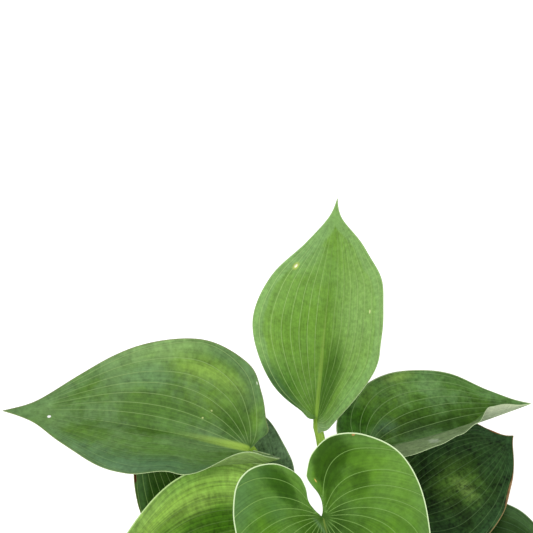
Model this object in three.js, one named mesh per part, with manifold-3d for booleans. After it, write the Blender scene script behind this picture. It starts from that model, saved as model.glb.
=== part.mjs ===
// Potted hosta: a plain clay pot of potting soil with a clump of stalked, ribbed, heart-shaped leaves.
// Millimetres, +Z up, origin at the middle of the pot's foot; the view that it was studied in looks along +Y.
import * as THREE from 'three';
import { mergeVertices } from 'three/addons/utils/BufferGeometryUtils.js';
import Module from 'manifold-3d';

const wasm = await Module();
wasm.setup();

const RADIANS = Math.PI / 180;

// Pot
const POT_HEIGHT = 160;
const FOOT_RADIUS = 68;
const RIM_RADIUS = 98;
const RIM_BAND = 30;
const RIM_STEP = 5;
const WALL = 7;
const FLOOR = 9;
const DRAIN_RADIUS = 6;
const DRAIN_RING = 36;
const DRAINS = 4;
const POT_SIDES = 48;
const EDGE_CUT = 3;
const LIP_CUT = 2;
const BAND_CUT = 1;

// Soil
const SOIL_LEVEL = 150;
const SOIL_CROWN = 3;
const GAP = 0.3;
const HOLE_DEPTH = 18;
const HOLE_SLACK = 0.45;
const HOLE_SIDES = 14;
const SOIL_EDGE_DROP = 2;
const SOIL_SHOULDER = 0.8;
const SOIL_TOP = 0.45;

// Leaf blades
const BLADE_THICKNESS = 0.8;
const RIB_HEIGHT = 0.45;
const RIB_COLUMNS = 6;
const RIB_START = 0.1;
const RIB_END = 0.25;
const MARGIN_ROWS = [0, 0.05, 0.1, 0.16, 0.24, 0.33, 0.42, 0.53, 0.64, 0.76, 0.87, 0.94, 1];
// how the lines across the blade fan out of its base: the power that their foot on the midrib moves with
const FAN = 1.5;
const LOBE_ROOM = 90;
// where a gaping blade is spread behind its base, and how far out from the midrib that reaches
const GAPE_RUN = 30;
const GAPE_REACH = 15;
const WAVE_POWER = 2.5;
const WAVE_SHIFT = 0.27;

// Stalks
const STALK_RADIUS = 4.3;
const STALK_NECK = 3.5;
const STALK_END = 0.9;
const STALK_STEPS = 9;
const KEEL_SHARE = 0.55;
const KEEL_STEPS = 5;
const KEEL_TAPER = 0.7;
const STALK_SINK = 0.3;
const KEEL_SINK = 0.5;
// edges shorter than this, left where stalk and blade run into each other, are closed up
const SLIVER = 0.03;
// the stalk's section, in shares of its radius: round below and grooved on its upper side
const STALK_SECTION = [
  [-1, 0.4], [-0.85, -0.4], [-0.38, -0.9], [0.38, -0.9], [0.85, -0.4], [1, 0.4], [0.42, 0.25], [-0.42, 0.25],
];

// The margin of a plain half blade from base to tip, in shares of the blade's length and of the half's width.
const PLAIN_OUTLINE = [
  [-0.1, 0.13], [-0.15, 0.42], [-0.08, 0.74], [0.11, 0.97],
  [0.36, 1], [0.62, 0.74], [0.83, 0.32], [0.93, 0.1],
];

// What a half blade and a blade have unless a leaf says otherwise. A half has its width, how deep its basal
// lobe is next to the plain one, and its fold and curl as pairs of a place along the blade and an angle there.
// Its outline, where it has its own, gives the margin as distances along the midrib and out from it.
// A blade has its heading and pitch at the base, and the droop that it gains by the tip. Its stalk climbs at
// "rise" where it meets the blade, and may come in with another heading, its "arrival".
const PLAIN_HALF = {
  width: 46, lobe: 1, gape: 0,
  fold: [[0, 15], [0.4, 12], [1, 10]],
  curl: [[0, 0], [1, 0]],
};
const PLAIN_LEAF = {
  length: 120, roll: 0, droopPower: 1.4, rise: 58, lean: 0.5, reach: 0.22, wave: 1.2, waves: 3, phase: 0,
  left: {}, right: {},
};

// A leaf's base and foot are measured from the middle of the soil, the base's height from the soil's level.
const LEAVES = [
  {
    name: 'leaf_back_upright', base: [-3, 50, 170], foot: [12, 19],
    heading: 79.5, pitch: 66, droop: 8, length: 173,
    rise: 70, arrival: 120, phase: 0.3, wave: 0.3,
    left: {
      fold: [[0, 46], [0.4, 18], [1, 14]],
      outline: [[5, 11], [31, 41], [74, 56], [110, 45], [137, 21], [158, 5]],
    },
    right: {
      fold: [[0, 66], [0.4, 42], [1, 24]],
      outline: [[-7, 7], [5, 34], [35, 56], [78, 63], [115, 53], [138, 31], [158, 6]],
    },
  },
  {
    name: 'leaf_left_wide', base: [-55, 15, 171], foot: [-14, 5],
    heading: 168, pitch: 6, droop: 13, length: 196,
    roll: -17, phase: 0.1, wave: 0.3,
    left: {
      fold: [[-0.1, 10], [0.3, 30], [0.6, 24], [1, 16]],
      curl: [[-0.06, 100], [0.22, 16], [0.4, 0]],
      outline: [
        [-15, 6], [-25, 21], [-25, 40], [-8, 56], [20, 59], [48, 64.5], [66, 64], [95, 58.5], [137, 33],
        [168, 10],
      ],
    },
    right: {
      fold: [[0, 44], [0.4, 30], [1, 20]],
      outline: [[-4, 7], [-11, 16], [-8, 26], [-1, 45], [13, 65], [50, 74], [95, 62], [137, 34], [169, 10]],
    },
  },
  {
    name: 'leaf_front_heart', base: [-1, -55, 171], foot: [0, -12],
    heading: 285, pitch: -35, droop: 30, length: 150,
    rise: 68, phase: 0.6,
    left: {
      gape: 5, fold: [[0, 12], [1, 10]],
      outline: [
        [-4, -1.5], [-12, -4], [-20, -6.5], [-28, -6], [-36, -4], [-48, 3], [-57, 20], [-52, 44], [-30, 67],
        [13, 74], [75, 62], [120, 24], [137, 7],
      ],
    },
    right: {
      gape: 8, fold: [[0, 15], [1, 10]],
      outline: [
        [-4, 2], [-12, 0.5], [-19, 2], [-28, 9], [-38, 17.5], [-44, 32], [-41, 52], [-26, 65], [8, 70],
        [75, 60], [120, 22], [137, 7],
      ],
    },
  },
  {
    name: 'leaf_front_left', base: [-32, -36, 136], foot: [-13, -8],
    heading: 208, pitch: 0, droop: 30, length: 162,
    roll: -10, phase: 0.8,
    left: { width: 60, lobe: 0.6, fold: [[0, 15], [1, 10]] },
    right: { width: 65, fold: [[0, 25], [0.4, 20], [1, 10]] },
  },
  {
    name: 'leaf_left_under', base: [-79, 10, 70], foot: [-27, 4],
    heading: 118, pitch: 22, droop: 15, length: 138,
    phase: 0.2,
    left: { width: 50 },
    right: { width: 52, lobe: 0.6 },
  },
  {
    name: 'leaf_back_left', base: [-54, 35, 104], foot: [-11, 19],
    heading: 122, pitch: 20, droop: 10, length: 115,
    lean: 0.75, phase: 0.5,
    left: { width: 45, fold: [[0, 30], [0.4, 20], [1, 10]] },
    right: {
      fold: [[0, 50], [0.4, 40], [1, 10]],
      outline: [[-14, 12], [-20, 30], [-8, 43], [12, 47], [45, 42], [80, 22], [103, 6]],
    },
  },
  {
    name: 'leaf_right_upper', base: [36, 28, 158.5], foot: [15, 6],
    heading: 22, pitch: -6.3, droop: -14, length: 142,
    roll: 10, phase: 0.9, wave: 0.4,
    left: {
      fold: [[0, 24], [0.4, 14], [1, 10]],
      outline: [[-13, 4], [-22, 14], [-15, 32], [10, 49], [42, 58], [68, 55], [92, 44], [115, 24], [130, 9]],
    },
    right: {
      fold: [[0, 44], [0.25, 47], [0.4, 51], [0.55, 58], [0.7, 76], [0.9, 90]],
      outline: [[-10, 10], [-14, 34], [8, 50], [45, 52], [75, 42], [97, 28], [115, 15], [130, 5]],
    },
  },
  {
    name: 'leaf_right_dark', base: [50, 0, 116], foot: [20, -6],
    heading: 37, pitch: 5, droop: 4, length: 133,
    roll: 24, phase: 0.4,
    left: {
      fold: [[0, 10], [0.4, 0]],
      outline: [[8, 20], [42, 42], [85, 40], [107, 28], [116, 15], [125, 5]],
    },
    right: {
      fold: [[0, 10], [0.4, 0]],
      outline: [[-8, 8], [-12, 30], [10, 51], [45, 58], [80, 49], [104, 33], [116, 21], [127, 6]],
    },
  },
  {
    name: 'leaf_right_low', base: [60, -8, 80], foot: [30, -14],
    heading: 355, pitch: 8, droop: 35, length: 140,
    phase: 0.7,
    left: { outline: [[-10, 8], [-14, 26], [5, 46], [50, 56], [90, 49], [118, 26], [131, 8]] },
    right: { width: 50 },
  },
  {
    name: 'leaf_front_right_low', base: [42, -45, 56], foot: [13, -20],
    heading: 307, pitch: 8, droop: 42, length: 125,
    phase: 0.15,
    left: { lobe: 0.75 },
  },
  {
    name: 'leaf_front_low', base: [-22, -46, 66], foot: [-4, -26], heading: 246, pitch: 6, droop: 46,
    phase: 0.55,
  },
  {
    name: 'leaf_back_right_low', base: [44, 44, 92], foot: [25, 19],
    heading: 57, pitch: 14, droop: 36, length: 130,
    phase: 0.35,
    left: { fold: [[0, 20], [0.4, 15], [1, 10]] },
    right: { width: 48, lobe: 0.6, fold: [[0, 20], [0.4, 15], [1, 10]] },
  },
  {
    name: 'leaf_back_low', base: [-24, 44, 30], foot: [-3, 30],
    heading: 128, pitch: 0, droop: 40, length: 88,
    phase: 0.75,
    left: { width: 32, fold: [[0, 20], [0.4, 15], [1, 10]] },
    right: { width: 32, fold: [[0, 20], [0.4, 15], [1, 10]] },
  },
  {
    name: 'leaf_left_low', base: [-58, -27, 38], foot: [-27, -13],
    heading: 197, pitch: 6, droop: 38, length: 112,
    phase: 0.95,
    left: { width: 44 },
    right: { lobe: 0.7 },
  },
];

function finish(color, roughness) {
  return new THREE.MeshStandardMaterial({ color, roughness, metalness: 0 });
}

const clay = finish('#b5673f', 0.85);
const soilBrown = finish('#3b2a1e', 0.98);
const leafGreen = finish('#5f8f3a', 0.45);

function solid(geometry) {
  geometry.deleteAttribute('normal');
  geometry.deleteAttribute('uv');
  const merged = mergeVertices(geometry, 1e-4);
  return new wasm.Manifold(new wasm.Mesh({
    numProp: 3,
    vertProperties: new Float32Array(merged.attributes.position.array),
    triVerts: new Uint32Array(merged.index.array),
  }));
}

function geometryOf(manifold) {
  const mesh = manifold.getMesh();
  const geometry = new THREE.BufferGeometry();
  geometry.setAttribute('position', new THREE.BufferAttribute(new Float32Array(mesh.vertProperties), 3));
  geometry.setIndex(new THREE.BufferAttribute(new Uint32Array(mesh.triVerts), 1));
  return geometry;
}

// A closed mesh of points and triangles, turned inside out if its volume comes out negative.
function closedMesh(points, triangles) {
  let volume = 0;
  for (const [a, b, c] of triangles) {
    volume += points[a].dot(new THREE.Vector3().crossVectors(points[b], points[c]));
  }
  const facing = volume > 0 ? triangles : triangles.map(([a, b, c]) => [a, c, b]);
  const geometry = new THREE.BufferGeometry().setFromPoints(points);
  geometry.setIndex(facing.flat());
  return geometry;
}

function turned(profile, sides) {
  const geometry = new THREE.LatheGeometry(profile.map(([r, z]) => new THREE.Vector2(r, z)), sides);
  geometry.rotateX(Math.PI / 2);
  return geometry;
}

function post(radius, bottom, top, x, y, sides) {
  const geometry = new THREE.CylinderGeometry(radius, radius, top - bottom, sides);
  geometry.rotateX(Math.PI / 2);
  geometry.translate(x, y, (bottom + top) / 2);
  return geometry;
}

// Cubic curve through its first and last point, in any number of dimensions.
function curve(points, t) {
  const m = 1 - t;
  const weights = [m ** 3, 3 * m * m * t, 3 * m * t * t, t ** 3];
  return points[0].map((_, axis) => weights.reduce((sum, weight, i) => sum + weight * points[i][axis], 0));
}

function clamp(x) {
  return Math.min(1, Math.max(0, x));
}

function ease(x) {
  const c = clamp(x);
  return c * c * (3 - 2 * c);
}

// A value that changes along the blade, eased between pairs of a place and a value there.
function along(pairs, u) {
  return pairs.slice(1).reduce((sum, [place, value], i) => {
    const [before, last] = pairs[i];
    return sum + (value - last) * ease((u - before) / (place - before));
  }, pairs[0][1]);
}

// The flat margin of one half blade as a curve from base to tip: x along the midrib, y out from it.
function marginCurve(leaf, half) {
  const plain = PLAIN_OUTLINE.map(([x, y]) => [x * leaf.length * (x < 0 ? half.lobe : 1), y * half.width]);
  const points = [[0, 0], ...(half.outline ?? plain), [leaf.length, 0]];
  const margin = new THREE.SplineCurve(points.map(([x, y]) => new THREE.Vector2(x, y)));
  margin.arcLengthDivisions = 400;
  return margin;
}

// The midrib in space as a list of frames, one each millimetre: centre, direction, side (to its left) and up.
function midrib(leaf) {
  const frames = [];
  for (let x = -LOBE_ROOM; x <= leaf.length + 2; x += 1) {
    const u = clamp(x / leaf.length);
    const pitch = (leaf.pitch - leaf.droop * u ** leaf.droopPower) * RADIANS;
    const heading = leaf.heading * RADIANS;
    const direction = new THREE.Vector3(
      Math.cos(pitch) * Math.cos(heading), Math.cos(pitch) * Math.sin(heading), Math.sin(pitch));
    const side = new THREE.Vector3(-Math.sin(heading), Math.cos(heading), 0);
    side.applyAxisAngle(direction, leaf.roll * RADIANS);
    const up = new THREE.Vector3().crossVectors(direction, side);
    const last = frames.at(-1);
    const centre = last
      ? last.centre.clone().addScaledVector(last.direction, 0.5).addScaledVector(direction, 0.5)
      : new THREE.Vector3();
    frames.push({ centre, direction, side, up });
  }
  const [x, y, z] = leaf.base;
  const shift = new THREE.Vector3(x, y, z + SOIL_LEVEL).sub(frames[LOBE_ROOM].centre);
  frames.forEach((frame) => frame.centre.add(shift));
  return (distance) => {
    const place = Math.min(frames.length - 1.001, distance + LOBE_ROOM);
    const low = frames[Math.floor(place)];
    const high = frames[Math.floor(place) + 1];
    const share = place % 1;
    return {
      centre: low.centre.clone().lerp(high.centre, share),
      direction: low.direction.clone().lerp(high.direction, share).normalize(),
      side: low.side.clone().lerp(high.side, share).normalize(),
      up: low.up.clone().lerp(high.up, share).normalize(),
    };
  };
}

// A point of the blade's middle surface: s runs from -1 at the right margin to 1 at the left one.
function bladePoint(leaf, rib, s, t) {
  const half = s < 0 ? leaf.right : leaf.left;
  const share = Math.abs(s);
  const edge = half.margin.getPointAt(t);
  const x = (1 - share) * leaf.length * t ** FAN + share * edge.x;
  const u = x / leaf.length;
  const flat = share * edge.y;
  const gape = half.gape * Math.sin(Math.PI * clamp(-x / GAPE_RUN));
  const out = flat + gape * Math.exp(-Math.max(flat, 0) / GAPE_REACH);
  const angle = (along(half.fold, u) + along(half.curl, u) * share / 2) * RADIANS;
  const ripple = Math.sin(2 * Math.PI * (leaf.waves * t + leaf.phase + (s > 0 ? WAVE_SHIFT : 0)));
  const lift = leaf.wave * ripple * share ** WAVE_POWER * Math.sqrt(Math.sin(Math.PI * t));
  const ribs = Math.cos(Math.PI * RIB_COLUMNS * share) * ease((1 - t) / RIB_END) * ease(t / RIB_START);
  const frame = rib(x);
  return frame.centre
    .addScaledVector(frame.side, Math.sign(s) * out * Math.cos(angle))
    .addScaledVector(frame.up, out * Math.sin(angle) + lift - RIB_HEIGHT * ribs);
}

// The blade as a thin closed solid, split into the same triangles on its upper and lower face.
function bladeGeometry(leaf, rib) {
  const rows = MARGIN_ROWS.slice(1, -1);
  const columns = Array.from({ length: 2 * RIB_COLUMNS + 1 }, (_, j) => j / RIB_COLUMNS - 1);
  const middle = [rib(0).centre, ...rows.flatMap((t) => columns.map((s) => bladePoint(leaf, rib, s, t))),
    rib(leaf.length).centre];
  const at = (i, j) => 1 + i * columns.length + j;
  const tip = middle.length - 1;
  const faces = [];
  for (let j = 0; j < columns.length - 1; j += 1) {
    faces.push([0, at(0, j + 1), at(0, j)]);
    for (let i = 0; i < rows.length - 1; i += 1) {
      faces.push([at(i, j), at(i, j + 1), at(i + 1, j + 1)]);
      faces.push([at(i, j), at(i + 1, j + 1), at(i + 1, j)]);
    }
    faces.push([tip, at(rows.length - 1, j), at(rows.length - 1, j + 1)]);
  }
  const normals = middle.map(() => new THREE.Vector3());
  for (const [a, b, c] of faces) {
    const across = new THREE.Vector3().subVectors(middle[b], middle[a]);
    const face = across.cross(new THREE.Vector3().subVectors(middle[c], middle[a]));
    [a, b, c].forEach((corner) => normals[corner].add(face));
  }
  normals.forEach((normal) => normal.normalize());
  const upper = middle.map((point, i) => point.clone().addScaledVector(normals[i], BLADE_THICKNESS / 2));
  const lower = middle.map((point, i) => point.clone().addScaledVector(normals[i], -BLADE_THICKNESS / 2));
  const rim = [0, ...rows.map((_, i) => at(i, 0)), tip,
    ...rows.map((_, i) => at(rows.length - 1 - i, columns.length - 1))];
  const count = middle.length;
  const triangles = [...faces, ...faces.map(([a, b, c]) => [a + count, c + count, b + count])];
  rim.forEach((corner, i) => {
    const next = rim[(i + 1) % rim.length];
    triangles.push([corner, next, next + count], [corner, next + count, corner + count]);
  });
  return closedMesh([...upper, ...lower], triangles);
}

// A rod of the stalk's section, along stations that each have a centre, a direction, a side and a radius.
function rodGeometry(stations) {
  const sides = STALK_SECTION.length;
  const points = [];
  const triangles = [];
  stations.forEach(({ centre, side, up, radius }, i) => {
    for (const [across, above] of STALK_SECTION) {
      points.push(centre.clone().addScaledVector(side, across * radius).addScaledVector(up, above * radius));
    }
    for (let j = 0; i > 0 && j < sides; j += 1) {
      const [a, b] = [(i - 1) * sides + j, (i - 1) * sides + (j + 1) % sides];
      triangles.push([a, b, b + sides], [a, b + sides, a + sides]);
    }
  });
  for (const [i, order] of [[0, 1], [stations.length - 1, -1]]) {
    const hub = points.push(stations[i].centre.clone()) - 1;
    for (let j = 0; j < sides; j += 1) {
      const [a, b] = [i * sides + j, i * sides + (j + 1) % sides];
      triangles.push(order > 0 ? [hub, b, a] : [hub, a, b]);
    }
  }
  return closedMesh(points, triangles);
}

// The stalk rises from its hole in the soil, bends into the blade and tapers out under the midrib.
function stalkGeometry(leaf, rib) {
  const base = rib(0);
  const foot = new THREE.Vector3(leaf.foot[0], leaf.foot[1], SOIL_LEVEL + SOIL_CROWN + 1);
  const end = base.centre.clone().addScaledVector(base.up, -STALK_SINK * STALK_NECK);
  const length = foot.distanceTo(end);
  const arrival = (leaf.arrival ?? leaf.heading) * RADIANS;
  const arrive = new THREE.Vector3(
    Math.cos(leaf.rise * RADIANS) * Math.cos(arrival),
    Math.cos(leaf.rise * RADIANS) * Math.sin(arrival),
    Math.sin(leaf.rise * RADIANS));
  const bend = [
    foot,
    foot.clone().add(new THREE.Vector3(0, 0, leaf.lean * length)),
    end.clone().addScaledVector(arrive, -leaf.reach * length),
    end,
  ].map((point) => point.toArray());
  const stations = [{ centre: foot.clone().setZ(SOIL_LEVEL - HOLE_DEPTH + GAP), radius: STALK_RADIUS }];
  for (let i = 0; i <= STALK_STEPS; i += 1) {
    const t = i / STALK_STEPS;
    stations.push({
      centre: new THREE.Vector3(...curve(bend, t)),
      radius: STALK_RADIUS + (STALK_NECK - STALK_RADIUS) * t,
    });
  }
  for (let i = 1; i <= KEEL_STEPS; i += 1) {
    const t = i / KEEL_STEPS;
    const radius = STALK_NECK + (STALK_END - STALK_NECK) * t ** KEEL_TAPER;
    const frame = rib(t * KEEL_SHARE * leaf.length);
    const sink = STALK_SINK * radius + KEEL_SINK;
    stations.push({ centre: frame.centre.clone().addScaledVector(frame.up, -sink), radius });
  }
  stations.forEach((station, i) => {
    const before = stations[Math.max(0, i - 1)].centre;
    const after = stations[Math.min(stations.length - 1, i + 1)].centre;
    const direction = new THREE.Vector3().subVectors(after, before).normalize();
    if (i < 2) {
      direction.set(0, 0, 1);
    }
    station.side = base.side.clone().addScaledVector(direction, -base.side.dot(direction)).normalize();
    station.up = new THREE.Vector3().crossVectors(direction, station.side);
  });
  return rodGeometry(stations);
}

function leafMesh(entry) {
  const leaf = { ...PLAIN_LEAF, ...entry };
  for (const side of ['left', 'right']) {
    leaf[side] = { ...PLAIN_HALF, ...leaf[side] };
    leaf[side].margin = marginCurve(leaf, leaf[side]);
  }
  const rib = midrib(leaf);
  const whole = solid(bladeGeometry(leaf, rib)).add(solid(stalkGeometry(leaf, rib))).simplify(SLIVER);
  const mesh = new THREE.Mesh(geometryOf(whole), leafGreen);
  mesh.name = leaf.name;
  return mesh;
}

// Inner radius of the pot's wall at a height.
function wallInside(height) {
  const bodyTop = RIM_RADIUS - RIM_STEP;
  return FOOT_RADIUS + (bodyTop - FOOT_RADIUS) * height / POT_HEIGHT - WALL;
}

function potMesh() {
  const bandBottom = POT_HEIGHT - RIM_BAND;
  const body = (height) => wallInside(height) + WALL;
  const shell = solid(turned([
    [0, 0],
    [FOOT_RADIUS - EDGE_CUT, 0],
    [FOOT_RADIUS, EDGE_CUT],
    [body(bandBottom), bandBottom],
    [RIM_RADIUS - BAND_CUT, bandBottom],
    [RIM_RADIUS, bandBottom + BAND_CUT],
    [RIM_RADIUS, POT_HEIGHT - EDGE_CUT],
    [RIM_RADIUS - EDGE_CUT, POT_HEIGHT],
    [wallInside(POT_HEIGHT) + LIP_CUT, POT_HEIGHT],
    [wallInside(POT_HEIGHT), POT_HEIGHT - LIP_CUT],
    [wallInside(FLOOR), FLOOR],
    [0, FLOOR],
  ], POT_SIDES));
  let pot = shell;
  for (let i = 0; i < DRAINS; i += 1) {
    const angle = 2 * Math.PI * (i + 0.5) / DRAINS;
    const x = DRAIN_RING * Math.cos(angle);
    const y = DRAIN_RING * Math.sin(angle);
    pot = pot.subtract(solid(post(DRAIN_RADIUS, -1, FLOOR + 1, x, y, HOLE_SIDES)));
  }
  const mesh = new THREE.Mesh(geometryOf(pot), clay);
  mesh.name = 'pot';
  return mesh;
}

function soilMesh() {
  const bottom = FLOOR + GAP;
  const edge = SOIL_LEVEL - SOIL_EDGE_DROP;
  let soil = solid(turned([
    [0, bottom],
    [wallInside(bottom) - GAP, bottom],
    [wallInside(edge) - GAP, edge],
    [wallInside(edge) * SOIL_SHOULDER, SOIL_LEVEL],
    [wallInside(edge) * SOIL_TOP, SOIL_LEVEL + SOIL_CROWN - 1],
    [0, SOIL_LEVEL + SOIL_CROWN],
  ], POT_SIDES / 2));
  const radius = STALK_RADIUS * Math.max(...STALK_SECTION.map(([x, y]) => Math.hypot(x, y))) + HOLE_SLACK;
  for (const { foot } of LEAVES) {
    const top = SOIL_LEVEL + 4 * SOIL_CROWN;
    soil = soil.subtract(solid(post(radius, SOIL_LEVEL - HOLE_DEPTH, top, foot[0], foot[1], HOLE_SIDES)));
  }
  const mesh = new THREE.Mesh(geometryOf(soil), soilBrown);
  mesh.name = 'soil';
  return mesh;
}

const hosta = new THREE.Group();
hosta.add(potMesh(), soilMesh(), ...LEAVES.map(leafMesh));

export default hosta;
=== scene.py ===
# A potted hosta in a plain clay pot: camera and light, fourteen leaves, the pot and its potting mix
import math
import bmesh
import bpy
import numpy as np
from mathutils import Matrix, Vector, noise


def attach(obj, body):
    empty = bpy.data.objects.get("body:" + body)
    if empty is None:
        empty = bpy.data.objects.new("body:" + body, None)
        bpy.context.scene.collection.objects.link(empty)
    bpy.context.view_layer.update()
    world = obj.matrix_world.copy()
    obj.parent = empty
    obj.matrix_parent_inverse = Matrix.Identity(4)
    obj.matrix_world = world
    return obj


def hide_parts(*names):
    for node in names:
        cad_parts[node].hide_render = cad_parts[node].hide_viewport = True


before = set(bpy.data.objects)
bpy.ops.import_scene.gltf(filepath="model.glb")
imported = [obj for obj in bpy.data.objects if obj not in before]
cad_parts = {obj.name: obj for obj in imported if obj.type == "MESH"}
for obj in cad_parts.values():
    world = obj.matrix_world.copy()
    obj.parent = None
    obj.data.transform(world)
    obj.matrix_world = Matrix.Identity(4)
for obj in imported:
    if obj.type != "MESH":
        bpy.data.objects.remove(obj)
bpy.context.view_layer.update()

mm = 0.001
scene = bpy.context.scene
scene.view_settings.view_transform = 'Standard'
scene.view_settings.look = 'None'


def tone(code):
    # a web colour as Blender's linear one
    parts = [int(code[i:i + 2], 16) / 255 for i in (1, 3, 5)]
    return [c / 12.92 if c <= 0.04045 else ((c + 0.055) / 1.055) ** 2.4 for c in parts] + [1.0]


def added(name, data):
    # a new object with this mesh, camera or lamp, in the scene
    made = bpy.data.objects.new(name, data)
    scene.collection.objects.link(made)
    return made


# The studio: lengths in metres, the camera's elevation in degrees and its lens in millimetres
studio = {"aim": (-0.0419, 0.1008, 0.4291), "distance": 1.3, "elevation": 38, "lens": 116.3, "reach": 50,
          "floorSize": 9, "floorColour": "#fbfbfa", "floorRough": 0.9, "floorGlow": 0.5, "skyStrength": 0.4}

camera = bpy.data.cameras.new("camera")
camera.lens = studio["lens"]
camera.clip_end = studio["reach"]
cameraObject = added("camera", camera)
tilt = math.radians(studio["elevation"])
towardsCamera = Vector((0, -math.cos(tilt), math.sin(tilt)))
cameraObject.location = Vector(studio["aim"]) + studio["distance"] * towardsCamera
cameraObject.rotation_euler = (math.pi / 2 - tilt, 0, 0)
scene.camera = cameraObject

world = bpy.data.worlds.new("studio white")
world.use_nodes = True
sky = world.node_tree.nodes["Background"]
sky.inputs["Color"].default_value = (1, 1, 1, 1)
sky.inputs["Strength"].default_value = studio["skyStrength"]
scene.world = world

# each soft light has where it hangs, what it points at, its size and its power in watts
softLights = {
    "key": {"at": (-0.6, -1.5, 1.7), "to": (0, 0, 0.3), "size": 1.0, "power": 24},
    "fill": {"at": (1.3, -0.8, 1.3), "to": (0, 0, 0.3), "size": 1.4, "power": 5},
    "back": {"at": (0.2, 1.4, 1.9), "to": (0, 0, 0.3), "size": 1.4, "power": 14},
}
for name, light in softLights.items():
    lamp = bpy.data.lights.new(name, 'AREA')
    lamp.shape = 'DISK'
    lamp.size = light["size"]
    lamp.energy = light["power"]
    lampObject = added(name, lamp)
    lampObject.location = light["at"]
    direction = Vector(light["to"]) - Vector(light["at"])
    lampObject.rotation_euler = direction.to_track_quat('-Z', 'Y').to_euler()

floorMaterial = bpy.data.materials.new("pale floor")
floorMaterial.use_nodes = True
floorShader = floorMaterial.node_tree.nodes["Principled BSDF"]
floorShader.inputs["Base Color"].default_value = tone(studio["floorColour"])
floorShader.inputs["Roughness"].default_value = studio["floorRough"]
floorShader.inputs["Emission Color"].default_value = (1, 1, 1, 1)
floorShader.inputs["Emission Strength"].default_value = studio["floorGlow"]
half = studio["floorSize"] / 2
floorMesh = bpy.data.meshes.new("floor")
floorMesh.from_pydata([(-half, -half, 0), (half, -half, 0), (half, half, 0), (-half, half, 0)], [],
                      [(0, 1, 2, 3)])
floorMesh.materials.append(floorMaterial)
floor = added("floor", floorMesh)
print("camera, lights and floor are set")

# What every leaf has unless it says otherwise, in millimetres and degrees. A half's outline runs from base to
# tip, each point so far along the midrib and so far out; a plain half has shares of its length and its width.
# "fold" turns a half up and "curl" turns its margin further: pairs of a place along the blade and an angle.
# "gape" opens the notch at the base, "wave" ripples the margin, "quilting" swells the flesh between veins.
plainOutline = [(-0.10, 0.13), (-0.15, 0.42), (-0.08, 0.74), (0.11, 0.97), (0.36, 1.0), (0.62, 0.74),
                (0.83, 0.32), (0.93, 0.10)]
plainHalf = {"width": 46, "lobe": 1.0, "gape": 0, "fold": [(0, 15), (0.4, 12), (1, 10)],
             "curl": [(0, 0), (1, 0)]}
# "rise" is the angle at which the stalk comes to the blade; "lean" and "reach" are how far it goes straight
# up from its foot and straight on to the blade, in shares of its span
# "veins" is how many lanes lie between midrib and margin, "bend" how late they turn to the tip, and "open"
# how much wider apart they stand where they leave the base sideways
plainLeaf = {"length": 120, "roll": 0, "droopPower": 1.4, "rise": 58, "lean": 0.5, "reach": 0.22, "wave": 1.2,
             "waves": 3, "phase": 0, "veins": 8, "bend": 1.4, "open": 0.2, "quilting": 0.4, "left": {},
             "right": {}}

# How blade, veins and stalk are made, the same for all leaves, in millimetres and shares
growth = {
    "soilLevel": 150, "sunk": 14.0, "collar": 4.0,    # how far the stalk goes into the soil, and straight up
    "fan": 1.5, "throat": 0.1,    # how the rows crowd at the base, and the share where blade and stalk join
    "gapeRun": 30, "gapeReach": 15,    # how far back and how far out the open notch reaches
    "rippleShift": 0.27, "ripplePower": 2.5,    # the left half's shift, and how the ripple grows outwards
    "openAt": 1.2, "openSpread": 0.7,    # the bearing round which the veins stand wider apart, in radians
    "thick": 0.6, "thin": 0.35, "thinFrom": 0.5,    # the blade at its midrib and its margin
    "pucker": 0.8, "puckerSize": 45, "puckerStart": 12,    # slow swells over the whole blade
    "quiltRun": 22, "quiltStart": 8, "quiltPower": 0.8, "quiltSink": 0.6,    # the flesh between the veins
    "stalkFoot": 4.3, "stalkNeck": 3.5, "stalkEnd": 0.9,    # radii at the soil, at the blade and in the keel
    "shoulder": 0.4, "groove": 0.45, "grooveRun": 0.1, "belly": 1.3,    # the stalk's section, over its radius
    "keelEnd": 0.55, "keelFade": 0.35, "keelPower": 0.7,    # how far along the keel runs below the midrib
    "seat": 0.3, "swept": 3.0, "lobeFrom": -2,    # how the stalk sits under the blade and meets its lobes
    "turnFrom": 0.8, "sweepFrom": 0.85,    # where along the stalk its neck starts to take the blade's way
    "creaseAngle": 60, "stalkRings": 26, "bladeRows": 104, "columns": 40, "crowding": 0.07}

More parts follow.
